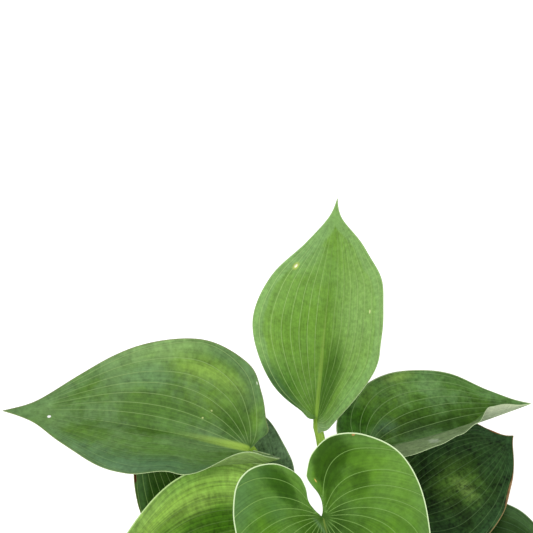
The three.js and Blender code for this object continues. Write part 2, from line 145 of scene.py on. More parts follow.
leaves = {
    "leaf_back_upright": {
        "base": (-3, 50, 170), "foot": (12, 19), "heading": 79.5, "pitch": 66, "droop": 8, "length": 173,
        "rise": 70, "arrival": 120, "phase": 0.3, "wave": 0.3, "quilting": 0.25,
        "left": {"fold": [(0, 46), (0.4, 18), (1, 14)],
                 "outline": [(5, 11), (31, 41), (74, 56), (110, 45), (137, 21), (158, 5)]},
        "right": {"fold": [(0, 66), (0.4, 42), (1, 24)],
                  "outline": [(-7, 7), (5, 34), (35, 56), (78, 63), (115, 53), (138, 31), (158, 6)]}},
    "leaf_left_wide": {
        "base": (-55, 15, 171), "foot": (-14, 5), "heading": 168, "pitch": 6, "droop": 13, "length": 196,
        "roll": -17, "phase": 0.1, "wave": 0.3, "quilting": 0.3,
        "left": {"fold": [(-0.1, 10), (0.3, 30), (0.6, 24), (1, 16)],
                 "curl": [(-0.06, 100), (0.22, 16), (0.4, 0)],
                 "outline": [(-15, 6), (-25, 21), (-25, 40), (-8, 56), (20, 59), (48, 64.5), (66, 64),
                             (95, 58.5), (137, 33), (168, 10)]},
        "right": {"fold": [(0, 44), (0.4, 30), (1, 20)],
                  "outline": [(-4, 7), (-11, 16), (-8, 26), (-1, 45), (13, 65), (50, 74), (95, 62), (137, 34),
                              (169, 10)]}},
    "leaf_front_heart": {
        "base": (-1, -55, 171), "foot": (0, -12), "heading": 285, "pitch": -35, "droop": 30, "length": 150,
        "rise": 68, "phase": 0.6, "veins": 11.5, "open": 0.55, "quilting": 0.35,
        "left": {"gape": 5, "fold": [(0, 12), (1, 10)],
                 "outline": [(-4, -1.5), (-12, -4), (-20, -6.5), (-28, -6), (-36, -4), (-48, 3), (-57, 20),
                             (-52, 44), (-30, 67), (13, 74), (75, 62), (120, 24), (137, 7)]},
        "right": {"gape": 8, "fold": [(0, 15), (1, 10)],
                  "outline": [(-4, 2), (-12, 0.5), (-19, 2), (-28, 9), (-38, 17.5), (-44, 32), (-41, 52),
                              (-26, 65), (8, 70), (75, 60), (120, 22), (137, 7)]}},
    "leaf_front_left": {
        "base": (-32, -36, 136), "foot": (-13, -8), "heading": 208, "pitch": 0, "droop": 30, "length": 162,
        "roll": -10, "phase": 0.8, "quilting": 1.0,
        "left": {"width": 60, "lobe": 0.6, "fold": [(0, 15), (1, 10)]},
        "right": {"width": 65, "fold": [(0, 25), (0.4, 20), (1, 10)]}},
    "leaf_left_under": {
        "base": (-79, 10, 70), "foot": (-27, 4), "heading": 118, "pitch": 22, "droop": 15, "length": 138,
        "phase": 0.2, "quilting": 0.5,
        "left": {"width": 50},
        "right": {"width": 52, "lobe": 0.6}},
    "leaf_back_left": {
        "base": (-54, 35, 104), "foot": (-11, 19), "heading": 122, "pitch": 20, "droop": 10, "length": 115,
        "lean": 0.75, "phase": 0.5,
        "left": {"width": 45, "fold": [(0, 30), (0.4, 20), (1, 10)]},
        "right": {"fold": [(0, 50), (0.4, 40), (1, 10)],
                  "outline": [(-14, 12), (-20, 30), (-8, 43), (12, 47), (45, 42), (80, 22), (103, 6)]}},
    "leaf_right_upper": {
        "base": (36, 28, 158.5), "foot": (15, 6), "heading": 22, "pitch": -6.3, "droop": -14, "length": 142,
        "roll": 10, "phase": 0.9, "wave": 0.4, "quilting": 0.5,
        "left": {"fold": [(0, 24), (0.4, 14), (1, 10)],
                 "outline": [(-13, 4), (-22, 14), (-15, 32), (10, 49), (42, 58), (68, 55), (92, 44),
                             (115, 24), (130, 9)]},
        "right": {"fold": [(0, 44), (0.25, 47), (0.4, 51), (0.55, 58), (0.7, 76), (0.9, 90)],
                  "outline": [(-10, 10), (-14, 34), (8, 50), (45, 52), (75, 42), (97, 28), (115, 15),
                              (130, 5)]}},
    "leaf_right_dark": {
        "base": (50, 0, 116), "foot": (20, -6), "heading": 37, "pitch": 5, "droop": 4, "length": 133,
        "roll": 24, "phase": 0.4, "quilting": 0.8,
        "left": {"fold": [(0, 10), (0.4, 0)],
                 "outline": [(8, 20), (42, 42), (85, 40), (107, 28), (116, 15), (125, 5)]},
        "right": {"fold": [(0, 10), (0.4, 0)],
                  "outline": [(-8, 8), (-12, 30), (10, 51), (45, 58), (80, 49), (104, 33), (116, 21),
                              (127, 6)]}},
    "leaf_right_low": {
        "base": (60, -8, 80), "foot": (30, -14), "heading": 355, "pitch": 8, "droop": 35, "length": 140,
        "phase": 0.7,
        "left": {"outline": [(-10, 8), (-14, 26), (5, 46), (50, 56), (90, 49), (118, 26), (131, 8)]},
        "right": {"width": 50}},
    "leaf_front_right_low": {
        "base": (42, -45, 56), "foot": (13, -20), "heading": 307, "pitch": 8, "droop": 42, "length": 125,
        "phase": 0.15,
        "left": {"lobe": 0.75}},
    "leaf_front_low": {
        "base": (-22, -46, 66), "foot": (-4, -26), "heading": 246, "pitch": 6, "droop": 46, "phase": 0.55},
    "leaf_back_right_low": {
        "base": (44, 44, 92), "foot": (25, 19), "heading": 57, "pitch": 14, "droop": 36, "length": 130,
        "phase": 0.35,
        "left": {"fold": [(0, 20), (0.4, 15), (1, 10)]},
        "right": {"width": 48, "lobe": 0.6, "fold": [(0, 20), (0.4, 15), (1, 10)]}},
    "leaf_back_low": {
        "base": (-24, 44, 30), "foot": (-3, 30), "heading": 128, "pitch": 0, "droop": 40, "length": 88,
        "phase": 0.75,
        "left": {"width": 32, "fold": [(0, 20), (0.4, 15), (1, 10)]},
        "right": {"width": 32, "fold": [(0, 20), (0.4, 15), (1, 10)]}},
    "leaf_left_low": {
        "base": (-58, -27, 38), "foot": (-27, -13), "heading": 197, "pitch": 6, "droop": 38, "length": 112,
        "phase": 0.95,
        "left": {"width": 44},
        "right": {"lobe": 0.7}},
}


def ease(x):
    x = np.clip(x, 0, 1)
    return x * x * (3 - 2 * x)


def along(pairs, u):
    # eases from one pair's value to the next one's
    total = np.full(np.shape(u), float(pairs[0][1]))
    for (a, before), (b, after) in zip(pairs, pairs[1:]):
        total = total + (after - before) * ease((u - a) / (b - a))
    return total


def smoothOutline(points, count=400):
    # a curve through the points (Catmull-Rom), read off evenly by its length
    corners = np.array(points, float)
    spans = len(corners) - 1
    t = np.linspace(0, spans, 40 * spans + 1)
    i = np.minimum(t.astype(int), spans - 1)
    w = (t - i)[:, None]
    before, start, end, after = (corners[np.clip(i + k, 0, spans)] for k in (-1, 0, 1, 2))
    leave, arrive = (end - before) / 2, (after - start) / 2
    path = ((2 * start - 2 * end + leave + arrive) * w**3 + (3 * end - 3 * start - 2 * leave - arrive) * w**2
            + leave * w + start)
    run = np.concatenate([[0], np.cumsum(np.linalg.norm(np.diff(path, axis=0), axis=1))])
    even = np.linspace(0, run[-1], count + 1)
    return np.stack([np.interp(even, run, path[:, 0]), np.interp(even, run, path[:, 1])], -1)


def wholeLeaf(name):
    leaf = {**plainLeaf, **leaves[name], "name": name}
    for sideName in ("left", "right"):
        side = {**plainHalf, **leaf[sideName]}
        length = leaf["length"]
        plain = [(x * length * (side["lobe"] if x < 0 else 1), y * side["width"]) for x, y in plainOutline]
        side["curve"] = smoothOutline([(0, 0), *side.get("outline", plain), (length, 0)])
        leaf[sideName] = side
    leaf["midrib"] = midribFrames(leaf)
    return leaf


def heads(heading, pitch):
    # the direction of a compass heading and a pitch, in radians
    return np.stack([np.cos(pitch) * np.cos(heading), np.cos(pitch) * np.sin(heading), np.sin(pitch)], -1)


def midribFrames(leaf):
    # the midrib in space, one frame a millimetre: where it is, where it heads, its left side and its up
    back = 90    # further back than any lobe reaches
    x = np.arange(-back, leaf["length"] + 2.5, 1.0)
    u = np.clip(x / leaf["length"], 0, 1)
    pitch = np.radians(leaf["pitch"] - leaf["droop"] * u ** leaf["droopPower"])
    heading = np.full_like(pitch, math.radians(leaf["heading"]))
    direction = heads(heading, pitch)
    level = np.stack([-np.sin(heading), np.cos(heading), 0 * heading], -1)
    above = np.cross(direction, level)
    roll = math.radians(leaf["roll"])
    side = level * math.cos(roll) + above * math.sin(roll)
    centre = np.concatenate([np.zeros((1, 3)), np.cumsum((direction[1:] + direction[:-1]) / 2, 0)])
    baseX, baseY, baseZ = leaf["base"]
    centre += np.array([baseX, baseY, baseZ + growth["soilLevel"]]) - centre[back]
    return {"x": x, "centre": centre, "direction": direction, "side": side, "up": np.cross(direction, side)}


def midribAt(leaf, distance, what):
    # "centre", "direction", "side" or "up" at a distance along the midrib
    values = leaf["midrib"][what]
    return np.stack([np.interp(distance, leaf["midrib"]["x"], values[:, axis]) for axis in range(3)], -1)


def outlineAt(side, t):
    # how far along and how far out the margin is, t running from its base to its tip
    place = np.clip(t, 0, 1) * (len(side["curve"]) - 1)
    steps = np.arange(len(side["curve"]))
    return np.interp(place, steps, side["curve"][:, 0]), np.interp(place, steps, side["curve"][:, 1])


def unit(vectors):
    return vectors / np.linalg.norm(vectors, axis=-1, keepdims=True)


def bladeGrid(leaf, t, s):
    # the blade's middle surface: s runs from -1 at the right margin to 1 at the left one, t from base to tip
    t, s = np.meshgrid(t, s, indexing="ij")
    share = abs(s)
    length = leaf["length"]
    grid = {"t": t, "s": s}
    for what in ("point", "normal", "x", "lane", "reach", "fromRib"):
        grid[what] = np.zeros(s.shape + ((3,) if what in ("point", "normal") else ()))
    opening = 1 - ease(t / growth["throat"])    # 1 at the base, where the margin leaves the stalk
    for sideName, sign in (("left", 1), ("right", -1)):
        half = leaf[sideName]
        edgeX, edgeY = outlineAt(half, t)
        edgeX = edgeX - growth["swept"] * opening * (edgeX.min() < growth["lobeFrom"])
        edgeY = edgeY + growth["stalkNeck"] * opening
        x = (1 - share) * length * t ** growth["fan"] + share * edgeX
        out = share * edgeY
        gape = half["gape"] * np.sin(np.pi * np.clip(-x / growth["gapeRun"], 0, 1))
        out = out + gape * np.exp(-np.maximum(out, 0) / growth["gapeReach"])
        u = x / length
        angle = np.radians(along(half["fold"], u) + along(half["curl"], u) * share / 2)
        slope = angle + np.radians(along(half["curl"], u)) * share / 2
        shift = leaf["phase"] + (growth["rippleShift"] if sign > 0 else 0)
        ripple = np.sin(2 * np.pi * (leaf["waves"] * t + shift)) * share ** growth["ripplePower"]
        lift = leaf["wave"] * ripple * np.sqrt(np.sin(np.pi * np.clip(t, 0, 1)))
        side, up = midribAt(leaf, x, "side"), midribAt(leaf, x, "up")
        here = (s >= 0) if sign > 0 else (s < 0)
        place = (midribAt(leaf, x, "centre") + side * (sign * out * np.cos(angle))[..., None]
                 + up * (out * np.sin(angle) + lift)[..., None])
        facing = up * np.cos(slope)[..., None] - side * (sign * np.sin(slope))[..., None]
        reach = np.hypot(length * t ** growth["fan"] - edgeX, edgeY)
        lane = sign * veinLane(leaf, share, x, out)
        for what, values in (("point", place), ("normal", facing), ("x", x), ("lane", lane), ("reach", reach),
                             ("fromRib", np.hypot(np.minimum(x, 0), out))):
            grid[what][here] = values[here]
    middle = np.argmin(abs(s[0]))    # on the midrib the halves face two ways, so it faces straight up
    grid["normal"][:, middle] = midribAt(leaf, grid["x"][:, middle], "up")
    grid["normal"] = unit(grid["normal"])
    return grid


def veinLane(leaf, share, x, out):
    # 0 on the midrib and a whole number on each vein: the veins fan out from the base, then bend to the tip
    bearing = np.arctan2(np.maximum(out, 0), x)
    margin = [0, -1]
    clear = np.hypot(x, out)[:, margin] > 5    # so near the base a bearing says nothing
    widest = bearing[:, margin].max(where=clear, initial=0.5)
    first = np.clip(bearing / widest, 0, 1)
    gathered = 1 - leaf["open"] * np.exp(-((bearing - growth["openAt"]) / growth["openSpread"]) ** 2)
    return leaf["veins"] * (first + (1 - first) * gathered * share ** leaf["bend"])


def laneWidth(point, lane):
    # millimetres from one vein to the next at each point of the blade: one over how steeply the lane rises
    (a, b), (laneA, laneB) = np.gradient(point, axis=(0, 1)), np.gradient(lane)
    aa, bb, ab = ((p * q).sum(-1) for p, q in ((a, a), (b, b), (a, b)))
    steep = (laneA**2 * bb - 2 * laneA * laneB * ab + laneB**2 * aa) / np.maximum(aa * bb - ab**2, 1e-6)
    return 1 / np.sqrt(np.clip(steep, 1e-3, 4))


def columnPlaces():
    # places across the blade, closer together beside the midrib and at the margin
    even = np.linspace(0, 1, growth["columns"] + 1)[1:]
    half = even - growth["crowding"] * np.sin(2 * np.pi * even)
    return np.concatenate([-half[::-1], [0], half])


def softNoise(points, size, seed):
    # a slow swell between -1 and 1 that repeats nowhere near, from a few crossing waves
    random = np.random.default_rng(seed)
    total = np.zeros(points.shape[:-1])
    for _ in range(5):
        direction = unit(random.normal(size=3)) / (size * random.uniform(0.7, 1.5))
        total += np.sin(2 * np.pi * (points @ direction + random.uniform()))
    return total / 3


def bladeRings(leaf, columns):
    # the blade's upper and lower faces, row by row: quilted between the veins, keeled below along the midrib
    rows = np.concatenate([[0, 0.004], np.linspace(0.01, 0.99, growth["bladeRows"] - 4), [0.995, 0.998]])
    grid = bladeGrid(leaf, rows, columns)
    x, lane, reach, fromRib, normal = (grid[what] for what in ("x", "lane", "reach", "fromRib", "normal"))
    share = abs(grid["s"])
    narrow = np.clip(reach / growth["quiltRun"], 0, 1) * ease(fromRib / growth["quiltStart"])
    swell = abs(np.sin(np.pi * lane)) ** growth["quiltPower"] - growth["quiltSink"]
    pillow = leaf["quilting"] * swell * narrow
    lanes = np.stack([lane, laneWidth(grid["point"], lane), 0 * lane], -1)
    pucker = growth["pucker"] * softNoise(grid["point"], growth["puckerSize"], len(leaf["name"]))
    point = grid["point"] + normal * (pillow + pucker * ease(fromRib / growth["puckerStart"]))[..., None]
    thinning = ease((share - growth["thinFrom"]) / (1 - growth["thinFrom"]))
    thickness = growth["thick"] + (growth["thin"] - growth["thick"]) * thinning

    # near the base the blade takes the stalk's section: its channel above and its rounded back below
    neck = growth["stalkNeck"]
    fade = 1 - ease(grid["t"] / growth["throat"])
    rim = growth["shoulder"] - growth["seat"]
    groove = neck * (growth["groove"] * np.clip(1 - (fromRib / neck) ** 2, 0, 1) - rim) * fade
    reachAlong = np.clip(x / (growth["keelEnd"] * leaf["length"]), 0, 1)
    radius = neck + (growth["stalkEnd"] - neck) * reachAlong ** growth["keelPower"]
    radius = radius * (1 - ease((x / leaf["length"] - growth["keelEnd"]) / growth["keelFade"]))
    keel = growth["belly"] * radius * np.sqrt(np.clip(1 - (fromRib / np.maximum(radius, 0.01)) ** 2, 0, 1))
    midUp = unit(leaf["neckUp"] * fade[..., None] + midribAt(leaf, x, "up") * (1 - fade)[..., None])
    body = 1 - fade * np.clip(1 - fromRib / (2 * neck), 0, 1)
    upper = point + normal * (thickness / 2 * body)[..., None] - midUp * groove[..., None]
    lower = point - normal * (thickness / 2 * body)[..., None] - midUp * (keel - neck * rim * fade)[..., None]
    return upper, lower, np.stack([grid["s"], grid["t"], reach], -1), lanes


def stalkRings(leaf, columns):
    # the stalk from its foot in the soil to the blade's base: a channel above and a rounded back below
    base = midribAt(leaf, 0.0, "centre")
    side, up, ahead = (midribAt(leaf, 0.0, what) for what in ("side", "up", "direction"))
    neck = growth["stalkNeck"]
    foot = np.array([*leaf["foot"], growth["soilLevel"] - growth["sunk"]])
    collar = np.array([*leaf["foot"], growth["soilLevel"] + growth["collar"]])
    end = base - up * growth["seat"] * neck
    span = np.linalg.norm(end - collar)
    rise, heading = math.radians(leaf["rise"]), math.radians(leaf.get("arrival", leaf["heading"]))
    arrive = heads(heading, rise)
    second, third = collar + np.array([0, 0, leaf["lean"] * span]), end - arrive * leaf["reach"] * span
    w = np.linspace(0, 1, growth["stalkRings"])[:, None]
    path = (1 - w)**3 * collar + 3 * (1 - w)**2 * w * second + 3 * (1 - w) * w * w * third + w**3 * end
    path = np.concatenate([[foot, (foot + collar) / 2], path])
    w = np.concatenate([[0, 0], w[:, 0]])
    travel = unit(np.gradient(path, axis=0))
    travel[:2] = (0, 0, 1)
    across = unit(side - travel * (travel @ side)[:, None])
    stalkUp = np.cross(travel, across)
    neckUp = unit(stalkUp[-1] + up)
    leaf["neckUp"] = neckUp
    turn = ease((w - growth["turnFrom"]) / (1 - growth["turnFrom"]))[:, None]
    stalkUp = unit(stalkUp * (1 - turn) + neckUp * turn)
    radius = growth["stalkFoot"] + (neck - growth["stalkFoot"]) * w
    s = columns[None, :]
    deepening = ease((w[:, None] + 0.02) / growth["grooveRun"])
    top = growth["shoulder"] - growth["groove"] * (1 - s * s) * deepening
    bottom = growth["shoulder"] - growth["belly"] * np.sqrt(1 - s * s)
    swept = growth["swept"] * ease((w - growth["sweepFrom"]) / (1 - growth["sweepFrom"])) * leaf["lobed"]

    def ring(height):
        return (path[:, None] + across[:, None] * (radius[:, None] * s)[..., None]
                + stalkUp[:, None] * (radius[:, None] * height)[..., None]
                - ahead * (swept[:, None] * abs(s))[..., None])

    place = np.stack(np.broadcast_arrays(s, w[:, None] - 1, radius[:, None]), -1)
    return ring(top)[:-1], ring(bottom)[:-1], place[:-1]


def leafObject(name, finishes):
    # one skin around stalk and blade; its slots are 0 upper face, 1 underside, 2 stalk
    leaf = wholeLeaf(name)
    columns = columnPlaces()
    furthestBack = min(leaf[side]["curve"][:, 0].min() for side in ("left", "right"))
    leaf["lobed"] = float(furthestBack < growth["lobeFrom"])
    stalkUpper, stalkLower, stalkPlace = stalkRings(leaf, columns)
    upper, lower, place, lanes = bladeRings(leaf, columns)
    upper, lower = np.concatenate([stalkUpper, upper]), np.concatenate([stalkLower, lower])
    place = np.concatenate([stalkPlace, place])
    lanes = np.concatenate([np.zeros(stalkPlace.shape), lanes])

    # each ring goes over the upper face and back under; the first and the last ring are closed flat
    rings = np.concatenate([upper, lower[:, ::-1]], 1)
    places = np.concatenate([place, place[:, ::-1]], 1)
    lanes = np.concatenate([lanes, lanes[:, ::-1]], 1)
    count, around = rings.shape[:2]
    i, k = np.meshgrid(np.arange(count - 1), np.arange(around), indexing="ij")
    after = (k + 1) % around
    walls = np.stack([i * around + k, (i + 1) * around + k, (i + 1) * around + after, i * around + after], -1)
    isUnder = (k >= around // 2 - 1)
    slots = np.where(i < len(stalkUpper), 2, np.where(isUnder, 1, 0))
    k = np.arange(around // 2 - 1)
    first = np.stack([k, k + 1, around - 2 - k, around - 1 - k], -1)
    last = first[:, ::-1] + (count - 1) * around
    faces = np.concatenate([walls.reshape(-1, 4), first, last])
    slots = np.concatenate([slots.ravel(), np.full(len(k), 2), np.full(len(k), 1)])

    mesh = bpy.data.meshes.new(name)
    mesh.from_pydata((rings.reshape(-1, 3) * mm).tolist(), [], faces.tolist())
    for finish in finishes:
        mesh.materials.append(finish)
    mesh.polygons.foreach_set("material_index", slots.astype(np.int32))
    mesh.polygons.foreach_set("use_smooth", np.ones(len(faces), bool))
    for label, values in (("leafPlace", places), ("veinLane", lanes)):
        attribute = mesh.attributes.new(label, 'FLOAT_VECTOR', 'POINT')
        attribute.data.foreach_set("vector", values.reshape(-1).astype(np.float32))
    mesh.update()
    mesh.set_sharp_from_angle(angle=math.radians(growth["creaseAngle"]))
    piece = added(name + "_grown", mesh)
    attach(piece, "root")
    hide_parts(name)


# Shader building blocks
def newMaterial(name):
    material = bpy.data.materials.new(name)
    material.use_nodes = True
    tree = material.node_tree
    return material, tree, tree.nodes["Principled BSDF"]


def feed(tree, socket, value):
    # a socket takes another node's output or a plain value
    if isinstance(value, bpy.types.NodeSocket):
        tree.links.new(value, socket)
    else:
        socket.default_value = value


def node(tree, kind, settings=None, **inputs):
    # an input goes by its name, or by its number: i0, i1 and so on
    made = tree.nodes.new(kind)
    for key, value in (settings or {}).items():
        setattr(made, key, value)
    for key, value in inputs.items():
        feed(tree, made.inputs[int(key[1:]) if key[1:].isdigit() else key], value)
    return made


def maths(tree, operation, *values):
    made = node(tree, "ShaderNodeMath", {"operation": operation})
    for socket, value in zip(made.inputs, values):
        feed(tree, socket, value)
    return made.outputs[0]


def ramp(tree, value, low, high, start=0.0, end=1.0):
    # eases from start to end while the value goes from low to high
    made = node(tree, "ShaderNodeMapRange", {"interpolation_type": 'SMOOTHSTEP'})
    for key, given in (("Value", value), ("From Min", low), ("From Max", high), ("To Min", start),
                       ("To Max", end)):
        feed(tree, made.inputs[key], given)
    return made.outputs["Result"]


def mixed(tree, factor, first, second, blend='MIX'):
    kind = {"data_type": 'RGBA', "blend_type": blend}
    return node(tree, "ShaderNodeMix", kind, i0=factor, i6=first, i7=second).outputs[2]


def laid(tree, colour, mask, amount, code):
    # a tone laid over the colour where the mask is, as strongly as the amount says
    return mixed(tree, maths(tree, 'MULTIPLY', mask, amount), colour, tone(code))


def shaded(tree, colour, shade):
    # a shade of 1 leaves the colour as it is
    grey = node(tree, "ShaderNodeCombineColor", i0=shade, i1=shade, i2=shade).outputs[0]
    return mixed(tree, 1.0, colour, grey, 'MULTIPLY')


def centred(tree, value):
    # from -0.5 to 0.5 where the value goes from 0 to 1
    return maths(tree, 'SUBTRACT', value, 0.5)


def objectSpot(tree):
    return node(tree, "ShaderNodeTexCoord").outputs["Object"]


def speckle(tree, spot, scale, detail, rough=0.5):
    made = node(tree, "ShaderNodeTexNoise", Vector=spot, Scale=scale, Detail=detail, Roughness=rough)
    return made.outputs["Fac"]


def stretched(tree, across, alongLeaf, acrossTimes, alongTimes):
    # a flat place whose two ways are stretched by different amounts, for a streaky texture
    return node(tree, "ShaderNodeCombineXYZ", i0=maths(tree, 'MULTIPLY', across, acrossTimes),
                i1=maths(tree, 'MULTIPLY', alongLeaf, alongTimes)).outputs[0]


def attributeParts(tree, label):
    made = node(tree, "ShaderNodeAttribute", {"attribute_type": 'GEOMETRY', "attribute_name": label})
    return node(tree, "ShaderNodeSeparateXYZ", i0=made.outputs["Vector"]).outputs


def surface(tree, shader, colour, rough, height, bump, shine=0.5):
    # the bump is how strong the fine relief is and how deep, in millimetres
    tree.links.new(colour, shader.inputs["Base Color"])
    shader.inputs["Roughness"].default_value = rough
    shader.inputs["Specular IOR Level"].default_value = shine
    strength, depth = bump
    relief = node(tree, "ShaderNodeBump", Height=height, Strength=strength, Distance=depth * mm)
    tree.links.new(relief.outputs["Normal"], shader.inputs["Normal"])


def newGroup(name, inputs, outputs):
    group = bpy.data.node_groups.new(name, "ShaderNodeTree")
    for label, default in inputs.items():
        socket = group.interface.new_socket(label, in_out='INPUT', socket_type='NodeSocketFloat')
        socket.default_value = default
    for label in outputs:
        group.interface.new_socket(label, in_out='OUTPUT', socket_type='NodeSocketFloat')
    return group, group.nodes.new("NodeGroupInput"), group.nodes.new("NodeGroupOutput")


def useGroup(tree, group, **inputs):
    return node(tree, "ShaderNodeGroup", {"node_tree": group}, **inputs).outputs


# the skin's textures: how often the fine lines and the cross ribs repeat across a lane and along the blade,
# and how fine the mottling, the grain and a mark's ragged edge are
skin = {"fineTimes": (7.5, 3.0), "crossTimes": (1.75, 90.0), "mottleScale": 120.0, "grainScale": 380.0,
        "tearScale": 160.0, "rough": 0.6}


def leafPlaceGroup():
    # where a point is on its leaf: across, its share of the half's width, along, and mm in from the margin
    group, _, out = newGroup("leaf place", {}, ["Across", "Share", "Along", "From Margin"])
    across, alongLeaf, halfWidth = attributeParts(group, "leafPlace")
    share = maths(group, 'ABSOLUTE', across)
    inward = maths(group, 'MULTIPLY', maths(group, 'SUBTRACT', 1.0, share), halfWidth)
    for label, value in (("Across", across), ("Share", share), ("Along", alongLeaf), ("From Margin", inward)):
        group.links.new(value, out.inputs[label])
    return group


def veinGroup(leafPlace):
    # the main veins as thin lines, the fine ones between them, and the cross ribs that join them
    group, given, out = newGroup("leaf veins", {"Width": 0.6, "Fade From": 0.6},
                                 ["Main", "Fine", "Cross", "Between", "From Midrib"])
    place = useGroup(group, leafPlace)
    laneAcross, laneWide, _ = attributeParts(group, "veinLane")
    lane = maths(group, 'ABSOLUTE', laneAcross)
    offset = maths(group, 'PINGPONG', lane, 0.5)
    line = ramp(group, maths(group, 'MULTIPLY', offset, laneWide), given.outputs["Width"], 0.05)
    fade = ramp(group, place["Along"], given.outputs["Fade From"], 0.98, 1.0, 0.15)
    fade = maths(group, 'MULTIPLY', fade, ramp(group, laneWide, 0.8, 2.6))
    fine, cross = (speckle(group, stretched(group, laneAcross, place["Along"], *times), 1.0, 2.0)
                   for times in (skin["fineTimes"], skin["crossTimes"]))
    for label, value in (("Main", maths(group, 'MULTIPLY', line, fade)), ("Fine", fine), ("Cross", cross),
                         ("Between", maths(group, 'MULTIPLY', offset, 2.0)),
                         ("From Midrib", maths(group, 'MULTIPLY', lane, laneWide))):
        group.links.new(value, out.inputs[label])
    return group


def bloomGroup():
    # the waxy bloom that lies on a leaf in uneven patches, and the mottling and grain of its skin
    group, given, out = newGroup("waxy bloom", {"Scale": 30.0, "Low": 0.42, "High": 0.62},
                                 ["Patches", "Cloud", "Mottle", "Grain"])
    spot = objectSpot(group)
    cloud = speckle(group, spot, given.outputs["Scale"], 5.0, skin["rough"])
    patches = ramp(group, cloud, given.outputs["Low"], given.outputs["High"])
    mottle = speckle(group, spot, skin["mottleScale"], 2.5, skin["rough"])
    grain = speckle(group, spot, skin["grainScale"], 2.5, skin["rough"])
    for label, value in (("Patches", patches), ("Cloud", cloud), ("Mottle", mottle), ("Grain", grain)):
        group.links.new(value, out.inputs[label])
    return group


def markGroup(leafPlace):
    # one mark on a leaf: full strength in its middle, nothing outside its ragged oval
    group, given, out = newGroup("leaf mark", {"Across": 0.0, "Along": 0.5, "Wide": 0.1, "Long": 0.1,
                                               "Soft": 0.5, "Ragged": 0.3}, ["Mask"])
    place = useGroup(group, leafPlace)
    ways = []
    for way, reach in (("Across", "Wide"), ("Along", "Long")):
        off = maths(group, 'SUBTRACT', place[way], given.outputs[way])
        ways.append(maths(group, 'DIVIDE', off, given.outputs[reach]))
    oval = node(group, "ShaderNodeCombineXYZ", i0=ways[0], i1=ways[1]).outputs[0]
    away = node(group, "ShaderNodeVectorMath", {"operation": 'LENGTH'}, i0=oval).outputs["Value"]
    torn = centred(group, speckle(group, objectSpot(group), skin["tearScale"], 4.0, skin["rough"]))
    away = maths(group, 'MULTIPLY_ADD', torn, given.outputs["Ragged"], away)
    inner = maths(group, 'SUBTRACT', 1.0, given.outputs["Soft"])
    group.links.new(ramp(group, away, inner, 1.0, 1.0, 0.0), out.inputs["Mask"])
    return group


leafPlace = leafPlaceGroup()
leafVeins = veinGroup(leafPlace)
waxyBloom = bloomGroup()
leafMark = markGroup(leafPlace)

# The finish of a leaf's upper face. "deep" is the darker green along the midrib, partly the leaf's own tone
# and partly painted shade in the crease where the halves fold up; "bloom" the waxy patches, "fresh" the
# yellower ones and "band" the bluish strip inside the margin, soft over a share "bandSoft" of its width.
# "leftVeins" is how much of the veins shows on the left half. "streak" and "cross" are fine lines along and
# across the veins, "stripe" the lighter flesh between them, "mottle" and "grain" the broken tone of the skin.
# Amounts are strengths, widths are in millimetres, "relief" is how strong and how deep the fine relief is.
# A mark is a patch, a spot, painted shade, painted light or a painted highlight: its place across (-1 to 1)
# and along (0 to 1), how far it reaches both ways, how soft and how ragged its edge is, its tone and its
# strength.
plainFinish = {
    "green": "#456a24", "deep": "#33521b", "deepReach": 0.5, "deepAmount": 0.5,
    "bloom": "#547246", "bloomAmount": 0.5, "bloomScale": 28,
    "fresh": "#5b8030", "freshAmount": 0.3, "freshScale": 0.6, "freshFrom": 0.5, "freshTo": 0.66,
    "band": "#5f8650", "bandAmount": 0.3, "bandWidth": 9, "bandSoft": 0.4, "bandUneven": 14.0,
    "vein": "#83a45c", "veinAmount": 0.7, "leftVeins": 1.0, "veinWidth": 0.42,
    "midrib": "#86a24c", "midribWidth": 1.5, "midribEnd": 0.7,
    "edge": "#94ae7c", "edgeAmount": 0.8, "edgeWidth": 0.9,
    "streakAmount": 0.2, "crossAmount": 0.05, "stripeAmount": 0.06, "mottleAmount": 0.6, "grainAmount": 0.6,
    "rough": 0.5, "shine": 0.12, "relief": (0.35, 0.6), "marks": [],
    "under": "#86a66c", "underBloom": "#9cb48a", "underMarks": []}
